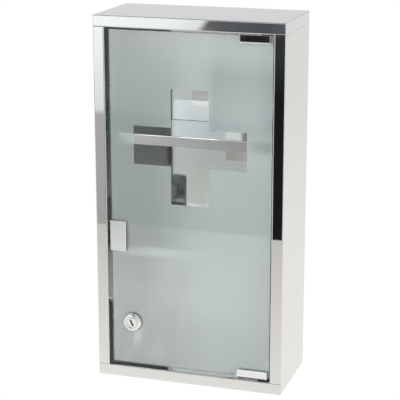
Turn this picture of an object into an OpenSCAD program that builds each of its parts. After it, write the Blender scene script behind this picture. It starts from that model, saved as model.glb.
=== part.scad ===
// Wall cabinet of folded stainless steel sheet with a frosted glass door, a cam lock and a touch latch.
// Millimetres. X runs to the hinge side, Y from the door to the wall, Z up. The origin is the middle of the base.

/* [Cabinet] */
// Outside width
cabinet_w = 250; // [230:1:400]
// Outside depth, from the front edges to the wall face
cabinet_d = 120; // [110:1:220]
// Outside height
cabinet_h = 480; // [450:1:800]
// Thickness of the hollow boards and side panels
panel_t = 15; // [13:0.5:22]
// Thickness of the folded sheet
sheet_t = 0.8; // [0.6:0.1:1.2]
// Outer radius of the folded edges
edge_r = 1.4; // [1.2:0.1:2]
// Radius of the cut edges where a board meets a side panel
seam_r = 0.4; // [0.2:0.1:0.6]
// How far the front edges fold back into the opening
return_d = 16; // [15:1:20]

/* [Back and wall fixing] */
// Depth of the back panel's side flanges
back_flange = 10; // [8:1:16]
// Distance of the wall holes from the side walls, floor and ceiling
wall_hole_inset = 25; // [20:1:40]
// Radius of the wall holes
wall_hole_r = 3.25; // [2:0.25:4]
// Radius of the rivet shanks
rivet_r = 1.6; // [1.2:0.1:2]
// Radius of the rivet heads
rivet_head_r = 3.2; // [3:0.1:4]
// Radius of the flat tops of the rivet heads
rivet_top_r = 1.9; // [1.6:0.1:2.4]
// Height of the rivet heads
rivet_head_h = 1; // [0.6:0.1:1.4]
// Radius of the rivets' tails in the hollow wall
rivet_tail_r = 2.4; // [2.1:0.1:3]
// Height of the rivets' tails
rivet_tail_h = 1.5; // [1:0.1:3]

/* [Shelves] */
// Height of the lower shelf's top
lower_shelf_z = 177; // [150:1:200]
// Height of the upper shelf's top
upper_shelf_z = 327; // [290:1:380]
// Height of the shelf lips
shelf_lip = 13.5; // [10:0.5:20]
// Depth of the hem under each front lip
shelf_hem = 6; // [4:0.5:10]
// Gap between the glass and the front of a shelf
shelf_setback = 10; // [9:1:30]
// Gap between a shelf and the panel behind or beside it
shelf_gap = 0.4; // [0.2:0.1:1]
// Radius of the shelf pins
shelf_pin_r = 2.5; // [2:0.1:3]
// How far the shelf pins stand out of the wall
shelf_pin_out = 9; // [6:0.5:12]
// How far the shelf pins reach into the wall
shelf_pin_in = 5; // [3:0.5:8]
// Radius of the shelf pin collars
shelf_collar_r = 4; // [3.5:0.1:5]
// Thickness of the shelf pin collars
shelf_collar_t = 1; // [0.6:0.1:1.1]
// Distance of the front pins from the front of the shelf
shelf_pin_front = 15; // [8:1:25]
// Distance of the rear pins from the back panel's flanges
shelf_pin_rear = 9.8; // [6:0.1:30]

/* [Door] */
// Thickness of the glass
glass_t = 4; // [3:0.5:5]
// Radius of the ground edges of the glass
glass_edge_r = 0.4; // [0.2:0.1:0.6]
// Distance of the glass behind the front edges
glass_recess = 6; // [5:0.5:8]
// Gap beside the glass on the lock side
lock_side_gap = 3.5; // [3:0.5:6]
// Gap beside the glass on the hinge side
hinge_side_gap = 2.5; // [2:0.5:5]
// Thickness of the frosted film on the inner face
film_t = 0.2; // [0.1:0.05:0.4]
// Side of each square of the clear cross
cross_cell = 50; // [30:1:60]
// Height of the middle of the clear cross
cross_z = 315; // [260:1:330]
// Thickness of the soft pads between glass and metal
pad_t = 0.3; // [0.2:0.1:0.6]

/* [Hinges] */
// Length of each hinge clamp
clamp_l = 40; // [30:1:50]
// Height of each hinge clamp
clamp_h = 10.5; // [9:0.5:16]
// Thickness of a clamp's front plate
clamp_front_t = 2; // [1.5:0.1:2.5]
// Thickness of a clamp's back plate
clamp_back_t = 2.6; // [2:0.1:3]
// Thickness of the web round the edge of the glass
clamp_web_t = 1.2; // [1:0.1:2]
// Bevel of a clamp's front edges
clamp_bevel = 0.5; // [0.2:0.1:0.8]
// Distance of a clamp from the hinge edge of the glass
clamp_inset = 2.5; // [1:0.5:4]
// Radius of the clamp screws
clamp_screw_r = 2; // [1.5:0.1:2.5]
// Length of the clamp screws
clamp_screw_l = 3.4; // [3.2:0.1:4]
// Distance of the clamp screws from the clamp's ends
clamp_screw_inset = 9; // [6:0.5:12]
// Radius of the hexagon socket in each clamp screw
hex_socket_r = 1.1; // [0.8:0.1:1.3]
// Radius of the pivot pins
pivot_r = 2; // [1.5:0.1:2.5]
// Distance of the pivot axis from the hinge edge of the glass
pivot_inset = 7; // [5.5:0.5:9]
// How far a pivot pin reaches into its board
pivot_depth = 6.5; // [4:0.5:8]
// Width of the bush flanges
bush_w = 15; // [12:0.5:17]
// Depth of the bush flanges
bush_d = 10; // [9:0.5:12]
// Thickness of the bush flanges
bush_flange_t = 1.2; // [1:0.1:2]
// Radius of the bush bosses
bush_boss_r = 4; // [3.5:0.1:4.5]
// Length of the bush bosses
bush_boss_l = 8; // [4:0.5:10]
// Up and down play between a clamp and its bush
door_play = 0.3; // [0.2:0.1:0.6]
// Radial clearance of everything that turns or slides in a bore
running_fit = 0.05; // [0.02:0.01:0.1]

/* [Handle clip] */
// Width of the clip's front plate on the glass
clip_w = 20.5; // [16:0.5:30]
// Height of the clip
clip_h = 41; // [30:1:60]
// Thickness of the clip's front plate
clip_front_t = 2; // [1.5:0.1:2.5]
// Thickness of the clip's side web and back plate
clip_t = 1.4; // [1:0.1:2]
// Bevel round the clip's front plate
clip_bevel = 1.2; // [0.4:0.1:1.4]

/* [Touch latch] */
// Width of the latch housing, out from the wall
latch_w = 14; // [12:0.5:18]
// Length of the latch housing
latch_l = 40; // [34:1:50]
// Height of the latch housing
latch_h = 13; // [11:0.5:16]
// Radius of the housing's edges
latch_edge_r = 1; // [0.5:0.1:2]
// Distance from the door's clip to the magnet's face
latch_gap = 0.3; // [0.2:0.1:0.6]
// How far the plunger still stands out of the housing when it is pressed
plunger_clear = 0.5; // [0.3:0.1:3]
// Radius of the plunger
plunger_r = 4; // [3:0.1:4.5]
// Length of the plunger without its magnet
plunger_l = 20; // [14:1:22]
// Travel of the plunger when it is pressed
plunger_stroke = 2.5; // [1:0.1:3]
// Radius of the magnet
magnet_r = 3.5; // [2.5:0.1:3.9]
// Thickness of the magnet
magnet_t = 2; // [1:0.1:3]
// Thickness of the wall behind the latch spring
latch_end_t = 2; // [1.5:0.1:3]
// Radius of the spring's coils, to the middle of the wire
spring_r = 2.6; // [2:0.1:3]
// Radius of the spring wire
spring_wire_r = 0.35; // [0.2:0.05:0.5]
// Number of coils of the spring
spring_turns = 7; // [5:1:9]
// Thickness of the fixing ears
ear_t = 2; // [1.5:0.1:3]
// How far each ear stands above or below the housing
ear_h = 8; // [7:0.5:10]
// Gap between the lower ear and the shelf below it
ear_shelf_gap = 1; // [0.5:0.1:10]
// Length of the ears
ear_l = 12; // [10:0.5:20]
// Radius of the ear screws' shanks
ear_screw_r = 1.5; // [1:0.1:2]
// Radius of the ear screws' heads
ear_screw_head_r = 2.8; // [2.5:0.1:3.2]
// Height of the ear screws' heads
ear_screw_head_h = 1.8; // [1:0.1:2.5]
// How far the ear screws reach behind the wall sheet
ear_screw_in = 4; // [2:0.5:8]
// Width of the cross slots in the ear screws and the cam screw
cross_slot_w = 0.8; // [0.5:0.1:1.2]
// Length of the cross slots
cross_slot_l = 3.4; // [2.4:0.1:4.4]

/* [Lock] */
// Distance of the lock's axis from the lock edge of the glass
lock_inset = 27.5; // [22:0.5:32]
// Height of the lock's axis
lock_z = 75.5; // [60:0.5:140]
// Radius of the bezel
bezel_r = 12.5; // [11.5:0.1:14]
// Radius of the bezel's front edge
bezel_front_r = 9; // [8.6:0.1:10]
// Height of the bezel
bezel_h = 2.9; // [2.4:0.1:3.5]
// Height of the bezel's straight rim
bezel_rim = 0.7; // [0.4:0.1:1.2]
// Outer radius of the threaded barrel
barrel_r = 8.5; // [8:0.1:9]
// Length of the barrel behind the film
barrel_l = 16; // [14:0.5:20]
// Clearance between the barrel and the hole in the glass
glass_hole_gap = 0.5; // [0.3:0.1:1]
// Radius of the plug's face
plug_face_r = 7.4; // [6.6:0.1:7.6]
// Thickness of the plug's face
plug_face_t = 2; // [1.2:0.1:2.2]
// Radius of the plug
plug_r = 6; // [5:0.1:6.2]
// Side of the square tail that carries the cam
tail_side = 7; // [6:0.1:7]
// Width of the keyhole
keyhole_w = 1.6; // [1:0.1:2]
// Length of the keyhole
keyhole_l = 10; // [8:0.5:10]
// Sideways step in the middle of the keyhole
keyhole_step = 0.7; // [0.4:0.1:0.8]
// Depth of the keyhole
keyhole_depth = 17; // [16:0.5:17.5]
// Lean of the keyhole away from upright
keyhole_angle = 33; // [0:1:60]
// Number of wafers in the plug
wafer_count = 4; // [3:1:4]
// Thickness of each wafer
wafer_t = 0.8; // [0.5:0.1:1]
// Width of each wafer
wafer_w = 6; // [5:0.1:7]
// Clearance round each wafer
wafer_gap = 0.1; // [0.05:0.05:0.15]
// Distance from wafer to wafer
wafer_pitch = 3; // [2.5:0.1:3.2]
// Distance of the first wafer behind the plug's face
wafer_start = 2; // [1:0.1:2.4]
// Thickness of the gasket under the bezel
gasket_t = 0.5; // [0.3:0.1:0.8]
// Thickness of the washer under the nut
nut_washer_t = 1; // [0.8:0.1:1.5]
// Radius of the washer under the nut
nut_washer_r = 13; // [12.6:0.1:14]
// Width across the flats of the nut
nut_flats = 22; // [20:0.5:24]
// Thickness of the nut
nut_t = 4; // [3:0.5:6]
// Length of the cam from the lock's axis to its tip
cam_reach = 37; // [34:0.5:42]
// Width of the cam
cam_w = 12; // [10:0.5:14]
// Thickness of the cam
cam_t = 2; // [1.5:0.1:3]
// Radius of the cam's round end
cam_hub_r = 8.5; // [7.5:0.1:9.5]
// Radius of the cam's tip corners
cam_corner_r = 2; // [1:0.1:3]
// Gap between the barrel's end and the cam
cam_gap = 0.3; // [0.2:0.1:0.5]
// Radius of the cam screw's head
cam_screw_head_r = 3.6; // [3:0.1:4.5]
// Height of the cam screw's head
cam_screw_head_h = 2.4; // [1.5:0.1:3]
// Radius of the cam screw
cam_screw_r = 2; // [1.5:0.1:2.2]
// Length of the cam screw in the plug
cam_screw_l = 8; // [5:0.5:9]
// Radius of the cam washer
cam_washer_r = 5.5; // [5:0.1:7]
// Thickness of the cam washer
cam_washer_t = 0.8; // [0.5:0.1:1.2]
// Clearance round the cam in its slot in the wall
slot_gap = 1.7; // [1.5:0.1:2.5]

/* [Hidden] */
$fn = 64;
over = 1;

steel = [0.80, 0.81, 0.81];
chrome = [0.88, 0.89, 0.90];
zinc = [0.70, 0.71, 0.72];
black_nylon = [0.05, 0.05, 0.06];
white_plastic = [0.88, 0.88, 0.86];
grey_rubber = [0.35, 0.36, 0.36];

// Inner faces of the carcass
wall_x = cabinet_w / 2 - panel_t;
front_y = -cabinet_d / 2;
back_y = cabinet_d / 2;
return_y = front_y + return_d;
back_inner_y = back_y - sheet_t;

// Glass, film and the stack behind them
gap_z = bush_flange_t + door_play + clamp_web_t + pad_t;
glass_x0 = -wall_x + lock_side_gap;
glass_x1 = wall_x - hinge_side_gap;
glass_z0 = panel_t + gap_z;
glass_z1 = cabinet_h - panel_t - gap_z;
glass_y0 = front_y + glass_recess;
glass_y1 = glass_y0 + glass_t;
film_y1 = glass_y1 + film_t;

// Hinges
pivot_x = glass_x1 - pivot_inset;
pivot_y = (glass_y0 + glass_y1) / 2;
clamp_x1 = glass_x1 - clamp_inset;
clamp_x0 = clamp_x1 - clamp_l;
clamp_y0 = glass_y0 - pad_t - clamp_front_t;
clamp_y1 = film_y1 + pad_t + clamp_back_t;
clamp_z0 = glass_z0 - pad_t - clamp_web_t;
clamp_z1 = clamp_z0 + clamp_h;
clamp_screw_z = (glass_z0 + clamp_z1) / 2;

// Handle clip, level with the latch
clip_z = lower_shelf_z + ear_shelf_gap + ear_h + latch_h / 2;
clip_x0 = glass_x0 - pad_t - clip_t;
clip_x1 = glass_x0 + clip_w;
clip_y0 = glass_y0 - pad_t - clip_front_t;
clip_y1 = film_y1 + pad_t + clip_t;
clip_z0 = clip_z - clip_h / 2;
clip_z1 = clip_z + clip_h / 2;

// Touch latch
magnet_y0 = clip_y1 + latch_gap;
plunger_y0 = magnet_y0 + magnet_t;
latch_y0 = plunger_y0 + plunger_stroke + plunger_clear;
latch_y1 = latch_y0 + latch_l;
latch_x = -wall_x + latch_w / 2;
spring_y0 = plunger_y0 + plunger_l;
spring_y1 = latch_y1 - latch_end_t;
ear_y = (latch_y0 + latch_y1) / 2;

// Lock
lock_x = glass_x0 + lock_inset;
bezel_y1 = glass_y0 - gasket_t;
bezel_y0 = bezel_y1 - bezel_h;
barrel_y1 = film_y1 + barrel_l;
glass_hole_r = barrel_r + glass_hole_gap;
plug_shoulder_y = bezel_y0 + plug_face_t;
cam_y0 = barrel_y1 + cam_gap;
cam_y1 = cam_y0 + cam_t;
cam_washer_y1 = cam_y1 + cam_washer_t;
tail_slack = 0.2;
wafer_y0 = plug_shoulder_y + wafer_start;

// The slot that the cam's tip swings through, measured from the lock's axis
cam_wall_reach = wall_x + lock_x;
cam_sweep_r = sqrt(cam_reach * cam_reach + cam_w * cam_w / 4);
slot_down = sqrt(cam_sweep_r * cam_sweep_r - cam_wall_reach * cam_wall_reach) + slot_gap;
slot_up = cam_w / 2 + slot_gap;

// Shelves
shelf_half_w = wall_x - sheet_t - shelf_gap;
shelf_y0 = film_y1 + shelf_setback;
shelf_y1 = back_inner_y - shelf_gap;

// ---------- Shared shapes ----------

// A rectangle from lo to hi with its corners rounded. radii start at the low corner and go anticlockwise.
module corner_rect(lo, hi, radii) {
    centres = [
        [lo.x + radii[0], lo.y + radii[0]], [hi.x - radii[1], lo.y + radii[1]],
        [hi.x - radii[2], hi.y - radii[2]], [lo.x + radii[3], hi.y - radii[3]]
    ];
    difference() {
        translate(lo) square(hi - lo);
        for (i = [0 : 3])
            if (radii[i] > 0)
                translate(centres[i]) rotate(180 + 90 * i) difference() {
                    square(radii[i] + over);
                    circle(radii[i]);
                }
    }
}

// Extrudes a shape drawn in X and Z from y0 to y1
module along_y(y0, y1) {
    translate([0, y1, 0]) rotate([90, 0, 0]) linear_extrude(y1 - y0) children();
}

// Extrudes a shape drawn in Y and Z from x0 to x1
module along_x(x0, x1) {
    translate([x0, 0, 0]) rotate([90, 0, 90]) linear_extrude(x1 - x0) children();
}

// A box from lo to hi with every edge rounded
module soft_box(lo, hi, r) {
    radii = [r, r, r, r];
    intersection() {
        along_x(lo.x, hi.x) corner_rect([lo.y, lo.z], [hi.y, hi.z], radii);
        along_y(lo.y, hi.y) corner_rect([lo.x, lo.z], [hi.x, hi.z], radii);
        translate([0, 0, lo.z]) linear_extrude(hi.z - lo.z)
            corner_rect([lo.x, lo.y], [hi.x, hi.y], radii);
    }
}

module box(lo, hi) {
    translate(lo) cube(hi - lo);
}

// A plate from lo to hi whose front edges are bevelled on all four sides
module bevelled_plate(lo, hi, bevel) {
    intersection() {
        along_x(lo.x, hi.x) polygon([
            [lo.y, lo.z + bevel], [lo.y + bevel, lo.z], [hi.y, lo.z],
            [hi.y, hi.z], [lo.y + bevel, hi.z], [lo.y, hi.z - bevel]
        ]);
        translate([0, 0, lo.z]) linear_extrude(hi.z - lo.z) polygon([
            [lo.x + bevel, lo.y], [hi.x - bevel, lo.y], [hi.x, lo.y + bevel],
            [hi.x, hi.y], [lo.x, hi.y], [lo.x, lo.y + bevel]
        ]);
    }
}

// A cylinder along Y from y0 to y1
module rod_y(r, y0, y1) {
    translate([0, y0, 0]) rotate([-90, 0, 0]) cylinder(r = r, h = y1 - y0);
}

// A cylinder along X from x0 to x1
module rod_x(r, x0, x1) {
    translate([x0, 0, 0]) rotate([0, 90, 0]) cylinder(r = r, h = x1 - x0);
}

// Turns a profile of radius and height about Y, with its heights measured along Y
module turned_y() {
    rotate([-90, 0, 0]) rotate_extrude() children();
}

module to_left() {
    mirror([1, 0, 0]) children();
}

module to_top() {
    translate([0, 0, cabinet_h]) mirror([0, 0, 1]) children();
}

// ---------- Carcass ----------

// The outside of a board, grown inwards by inset, with its room side at the top
module board_block(inset) {
    r = max(edge_r - inset, 0);
    seam = inset > 0 ? 0 : seam_r;
    lo = [-cabinet_w / 2 + inset, front_y + inset, inset];
    hi = [cabinet_w / 2 - inset, back_y - inset, panel_t - inset];
    intersection() {
        along_y(lo.y, hi.y) corner_rect([lo.x, lo.z], [hi.x, hi.z], [r, r, seam, seam]);
        along_x(lo.x, hi.x) corner_rect([lo.y, lo.z], [hi.y, hi.z], [r, r, 0, r]);
        translate([0, 0, lo.z]) linear_extrude(hi.z - lo.z)
            corner_rect([lo.x, lo.y], [hi.x, hi.y], [r, r, r, r]);
    }
}

// The opening in the room side of a board, behind its front return
module board_opening(z0, z1) {
    box([-cabinet_w / 2 + sheet_t, return_y, z0], [cabinet_w / 2 - sheet_t, back_inner_y, z1]);
}

// A tray folded from one sheet, with its front edge returned under the door
module board_cover() {
    color(steel) difference() {
        board_block(0);
        board_block(sheet_t);
        board_opening(panel_t - 2 * sheet_t, panel_t + over);
        translate([pivot_x, pivot_y, panel_t - 2 * sheet_t])
            cylinder(r = bush_boss_r, h = 2 * sheet_t + over);
    }
}

// The flat sheet that closes a board towards the room
module board_sheet() {
    color(steel) board_opening(panel_t - sheet_t, panel_t);
}

module top_cover() {
    to_top() board_cover();
}

module ceiling_sheet() {
    to_top() board_sheet();
}

module bottom_cover() {
    board_cover();
}

module floor_sheet() {
    board_sheet();
}

// The outer skin of a side panel: outside face, front edge with its return, and rear edge
module side_panel() {
    r_in = max(edge_r - sheet_t, 0);
    color(steel) translate([0, 0, panel_t]) linear_extrude(cabinet_h - 2 * panel_t)
        difference() {
            corner_rect([wall_x, front_y], [cabinet_w / 2, back_y], [edge_r, edge_r, edge_r, 0]);
            corner_rect([wall_x + sheet_t, front_y + sheet_t],
                [cabinet_w / 2 - sheet_t, back_inner_y], [r_in, r_in, r_in, 0]);
            translate([wall_x - over, return_y]) square([sheet_t + 2 * over, back_inner_y - return_y]);
        }
}

// The flat sheet that closes a side panel towards the room, with its holes for pins and rivets
module side_liner() {
    color(steel) difference() {
        box([wall_x, return_y, panel_t], [wall_x + sheet_t, back_inner_y, cabinet_h - panel_t]);
        for (z = [lower_shelf_z, upper_shelf_z])
            at_shelf_pins(z) rod_x(shelf_pin_r, wall_x - over, wall_x + sheet_t + over);
        at_rivets() rod_x(rivet_r, wall_x - over, wall_x + sheet_t + over);
    }
}

module right_side_panel() {
    side_panel();
}

module right_inner_liner() {
    side_liner();
}

module left_side_panel() {
    to_left() side_panel();
}

module left_inner_liner() {
    difference() {
        to_left() side_liner();
        color(steel) box(
            [-wall_x - sheet_t - over, cam_y0 - slot_gap, lock_z - slot_down],
            [-wall_x + over, cam_y1 + slot_gap, lock_z + slot_up]);
        color(steel) at_ear_screws() rod_x(ear_screw_r, -wall_x - sheet_t - over, -wall_x + over);
    }
}

// ---------- Back ----------

module at_wall_holes() {
    side = wall_x - wall_hole_inset;
    height = panel_t + wall_hole_inset;
    for (x = [-side, side], z = [height, cabinet_h - height])
        translate([x, 0, z]) children();
}

// The middles of the three compartments, up the back panel's flanges
module at_rivets() {
    levels = [panel_t, lower_shelf_z, upper_shelf_z, cabinet_h - panel_t];
    for (i = [0 : 2])
        translate([0, back_inner_y - back_flange / 2, (levels[i] + levels[i + 1]) / 2]) children();
}

module back_panel() {
    half_w = wall_x;
    r_in = max(edge_r - sheet_t, 0);
    color(steel) difference() {
        translate([0, 0, panel_t]) linear_extrude(cabinet_h - 2 * panel_t) difference() {
            corner_rect([-half_w, back_y - back_flange], [half_w, back_y], [0, 0, edge_r, edge_r]);
            corner_rect([-half_w + sheet_t, back_y - back_flange - over],
                [half_w - sheet_t, back_inner_y], [0, 0, r_in, r_in]);
        }
        at_wall_holes() rod_y(wall_hole_r, back_inner_y - over, back_y + over);
        at_rivets() rod_x(rivet_r, -wall_x - over, wall_x + over);
    }
}

// One blind rivet through the back panel's flange and the liner
module rivet() {
    rod_x(rivet_r, wall_x - sheet_t, wall_x + sheet_t);
    rod_x(rivet_tail_r, wall_x + sheet_t, wall_x + sheet_t + rivet_tail_h);
    translate([wall_x - sheet_t, 0, 0]) rotate([0, -90, 0])
        cylinder(r1 = rivet_head_r, r2 = rivet_top_r, h = rivet_head_h);
}

module back_rivets() {
    color(zinc) at_rivets() {
        rivet();
        to_left() rivet();
    }
}

// ---------- Shelves ----------

module shelf(z) {
    color(steel) along_x(-shelf_half_w, shelf_half_w) difference() {
        corner_rect([shelf_y0, z - shelf_lip], [shelf_y1, z], [0, 0, edge_r, edge_r]);
        corner_rect([shelf_y0 + sheet_t, z - shelf_lip + sheet_t],
            [shelf_y1 - sheet_t, z - sheet_t], [0, 0, max(edge_r - sheet_t, 0), max(edge_r - sheet_t, 0)]);
        translate([shelf_y0 + shelf_hem, z - shelf_lip - over])
            square([shelf_y1 - sheet_t - shelf_y0 - shelf_hem, sheet_t + 2 * over]);
    }
}

module at_shelf_pins(z) {
    for (y = [shelf_y0 + shelf_pin_front, back_y - back_flange - shelf_pin_rear])
        translate([0, y, z - sheet_t - shelf_pin_r]) children();
}

module shelf_pin() {
    rod_x(shelf_pin_r, wall_x - shelf_pin_out, wall_x + shelf_pin_in);
    rod_x(shelf_collar_r, wall_x - shelf_collar_t, wall_x);
}

module shelf_pins(z) {
    color(zinc) at_shelf_pins(z) {
        shelf_pin();
        to_left() shelf_pin();
    }
}

module upper_shelf() {
    shelf(upper_shelf_z);
}

module lower_shelf() {
    shelf(lower_shelf_z);
}

module upper_shelf_pins() {
    shelf_pins(upper_shelf_z);
}

module lower_shelf_pins() {
    shelf_pins(lower_shelf_z);
}

// ---------- Hinges ----------

// A nylon bush in the lower board: a flange under the clamp and a boss that holds the pin
module pivot_bush() {
    color(black_nylon) difference() {
        union() {
            box([pivot_x - bush_w / 2, pivot_y - bush_d / 2, panel_t],
                [pivot_x + bush_w / 2, pivot_y + bush_d / 2, panel_t + bush_flange_t]);
            translate([pivot_x, pivot_y, panel_t - bush_boss_l])
                cylinder(r = bush_boss_r, h = bush_boss_l + bush_flange_t);
        }
        translate([pivot_x, pivot_y, panel_t - bush_boss_l - over])
            cylinder(r = pivot_r + running_fit, h = bush_boss_l + bush_flange_t + 2 * over);
    }
}

module pivot_pin() {
    color(chrome) translate([pivot_x, pivot_y, panel_t - pivot_depth])
        cylinder(r = pivot_r, h = clamp_z0 + clamp_web_t - panel_t + pivot_depth);
}

module at_clamp_screws() {
    for (x = [clamp_x0 + clamp_screw_inset, clamp_x1 - clamp_screw_inset])
        translate([x, 0, clamp_screw_z]) children();
}

// A U-shaped clamp round the lower edge of the glass
module hinge_clamp() {
    color(chrome) difference() {
        bevelled_plate([clamp_x0, clamp_y0, clamp_z0], [clamp_x1, clamp_y1, clamp_z1], clamp_bevel);
        box([clamp_x0 - over, glass_y0 - pad_t, glass_z0 - pad_t],
            [clamp_x1 + over, film_y1 + pad_t, clamp_z1 + over]);
        translate([pivot_x, pivot_y, clamp_z0 - over]) cylinder(r = pivot_r, h = clamp_web_t + 2 * over);
        at_clamp_screws() rod_y(clamp_screw_r, film_y1, clamp_y1 + over);
    }
}

// The soft liner between a clamp and the glass
module hinge_pad() {
    difference() {
        box([clamp_x0, glass_y0 - pad_t, glass_z0 - pad_t], [clamp_x1, film_y1 + pad_t, clamp_z1]);
        box([clamp_x0 - over, glass_y0, glass_z0], [clamp_x1 + over, film_y1, clamp_z1 + over]);
    }
}

module clamp_screw() {
    difference() {
        rod_y(clamp_screw_r, film_y1 + pad_t, film_y1 + pad_t + clamp_screw_l);
        along_y(film_y1 + pad_t + clamp_screw_l / 2, film_y1 + pad_t + clamp_screw_l + over)
            circle(r = hex_socket_r, $fn = 6);
    }
}

module clamp_screws() {
    color(zinc) {
        at_clamp_screws() clamp_screw();
        to_top() at_clamp_screws() clamp_screw();
    }
}

module hinge_pads() {
    color(grey_rubber) {
        hinge_pad();
        to_top() hinge_pad();
    }
}

module lower_hinge_clamp() {
    hinge_clamp();
}

module upper_hinge_clamp() {
    to_top() hinge_clamp();
}

module lower_pivot_pin() {
    pivot_pin();
}

module upper_pivot_pin() {
    to_top() pivot_pin();
}

module lower_pivot_bush() {
    pivot_bush();
}

module upper_pivot_bush() {
    to_top() pivot_bush();
}

// ---------- Door ----------

module at_lock() {
    translate([lock_x, 0, lock_z]) children();
}

module door_glass() {
    color([0.62, 0.72, 0.69, 0.35]) difference() {
        soft_box([glass_x0, glass_y0, glass_z0], [glass_x1, glass_y1, glass_z1], glass_edge_r);
        at_lock() rod_y(glass_hole_r, glass_y0 - over, glass_y1 + over);
    }
}

// The frosted film on the glass, with the clear cross cut out of it
module frosted_film() {
    color([0.66, 0.70, 0.69, 0.8]) difference() {
        box([glass_x0 + glass_edge_r, glass_y1, glass_z0 + glass_edge_r],
            [glass_x1 - glass_edge_r, film_y1, glass_z1 - glass_edge_r]);
        box([-1.5 * cross_cell, glass_y1 - over, cross_z - cross_cell / 2],
            [1.5 * cross_cell, film_y1 + over, cross_z + cross_cell / 2]);
        box([-cross_cell / 2, glass_y1 - over, cross_z - 1.5 * cross_cell],
            [cross_cell / 2, film_y1 + over, cross_z + 1.5 * cross_cell]);
        at_lock() rod_y(glass_hole_r, glass_y1 - over, film_y1 + over);
    }
}

// The clip that folds round the lock edge of the glass: a finger plate outside, a strike for the magnet inside
module handle_clip() {
    color(chrome) difference() {
        bevelled_plate([clip_x0, clip_y0, clip_z0], [clip_x1, clip_y1, clip_z1], clip_bevel);
        box([glass_x0 - pad_t, glass_y0 - pad_t, clip_z0 - over],
            [clip_x1 + over, film_y1 + pad_t, clip_z1 + over]);
    }
}

module handle_pad() {
    color(grey_rubber) difference() {
        box([glass_x0 - pad_t, glass_y0 - pad_t, clip_z0], [clip_x1, film_y1 + pad_t, clip_z1]);
        box([glass_x0, glass_y0, clip_z0 - over], [clip_x1 + over, film_y1, clip_z1 + over]);
    }
}

// ---------- Touch latch ----------

module at_latch() {
    translate([latch_x, 0, clip_z]) children();
}

module at_ear_screws() {
    for (s = [-1, 1])
        translate([0, ear_y, clip_z + s * (latch_h + ear_h) / 2]) children();
}

module latch_housing() {
    color(white_plastic) difference() {
        union() {
            soft_box([-wall_x, latch_y0, clip_z - latch_h / 2],
                [-wall_x + latch_w, latch_y1, clip_z + latch_h / 2], latch_edge_r);
            box([-wall_x, ear_y - ear_l / 2, clip_z - latch_h / 2 - ear_h],
                [-wall_x + ear_t, ear_y + ear_l / 2, clip_z + latch_h / 2 + ear_h]);
        }
        at_latch() rod_y(plunger_r + running_fit, latch_y0 - over, spring_y1);
        at_ear_screws() rod_x(ear_screw_r, -wall_x - over, -wall_x + ear_t + over);
    }
}

module latch_screws() {
    head_x0 = -wall_x + ear_t;
    head_x1 = head_x0 + ear_screw_head_h;
    color(zinc) at_ear_screws() {
        rod_x(ear_screw_r, -wall_x - sheet_t - ear_screw_in, head_x0);
        difference() {
            rod_x(ear_screw_head_r, head_x0, head_x1);
            for (a = [0, 90])
                rotate([a, 0, 0])
                    box([(head_x0 + head_x1) / 2, -cross_slot_w / 2, -cross_slot_l / 2],
                        [head_x1 + over, cross_slot_w / 2, cross_slot_l / 2]);
        }
    }
}

module latch_plunger() {
    color(white_plastic) at_latch() rod_y(plunger_r, plunger_y0, spring_y0);
}

module latch_magnet() {
    color(zinc) at_latch() rod_y(magnet_r, magnet_y0, plunger_y0);
}

// A round wire that winds about Y, from y0 to y1
module coil_y(r, wire_r, turns, y0, y1) {
    steps = 16;
    sides = 8;
    n = turns * steps;
    rings = [
        for (i = [0 : n], j = [0 : sides - 1])
            let (a = 360 * i / steps, b = 360 * j / sides, q = r + wire_r * cos(b))
            [q * cos(a), y0 + wire_r + (y1 - y0 - 2 * wire_r) * i / n + wire_r * sin(b), q * sin(a)]
    ];
    walls = [
        for (i = [0 : n - 1], j = [0 : sides - 1])
            let (k = (j + 1) % sides)
            [i * sides + j, i * sides + k, (i + 1) * sides + k, (i + 1) * sides + j]
    ];
    start = [for (j = [sides - 1 : -1 : 0]) j];
    end = [for (j = [0 : sides - 1]) n * sides + j];
    polyhedron(rings, concat([start, end], walls));
}

module latch_spring() {
    color(zinc) at_latch() coil_y(spring_r, spring_wire_r, spring_turns, spring_y0, spring_y1);
}

// ---------- Lock ----------

module lock_housing() {
    color(chrome) at_lock() turned_y() difference() {
        union() {
            polygon([
                [0, bezel_y0], [bezel_front_r, bezel_y0], [bezel_r, bezel_y1 - bezel_rim],
                [bezel_r, bezel_y1], [0, bezel_y1]
            ]);
            translate([0, bezel_y1]) square([barrel_r, barrel_y1 - bezel_y1]);
        }
        translate([0, bezel_y0 - over])
            square([plug_face_r + running_fit, plug_face_t + over]);
        translate([0, bezel_y0]) square([plug_r + running_fit, barrel_y1 - bezel_y0 + over]);
    }
}

module lock_gasket() {
    color(grey_rubber) at_lock() turned_y() translate([barrel_r, bezel_y1])
        square([bezel_r - barrel_r, gasket_t]);
}

module nut_washer() {
    color(zinc) at_lock() turned_y() translate([barrel_r, film_y1])
        square([nut_washer_r - barrel_r, nut_washer_t]);
}

module lock_nut() {
    nut_y0 = film_y1 + nut_washer_t;
    color(zinc) at_lock() difference() {
        along_y(nut_y0, nut_y0 + nut_t) circle(r = nut_flats / 2 / cos(30), $fn = 6);
        rod_y(barrel_r, nut_y0 - over, nut_y0 + nut_t + over);
    }
}

// The keyhole, drawn upright: two straight halves that are stepped sideways
module keyhole_shape(grow) {
    overlap = 1;
    for (s = [-1, 1])
        translate([s * keyhole_step / 2 - keyhole_w / 2 - grow, s > 0 ? -overlap : -keyhole_l / 2 - grow])
            square([keyhole_w + 2 * grow, keyhole_l / 2 + overlap + grow]);
}

module wafer_block(gap) {
    for (i = [0 : wafer_count - 1]) {
        y = wafer_y0 + i * wafer_pitch;
        box([-wafer_w / 2 - gap, y - gap, -plug_r - over], [wafer_w / 2 + gap, y + wafer_t + gap, plug_r + over]);
    }
}

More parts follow.
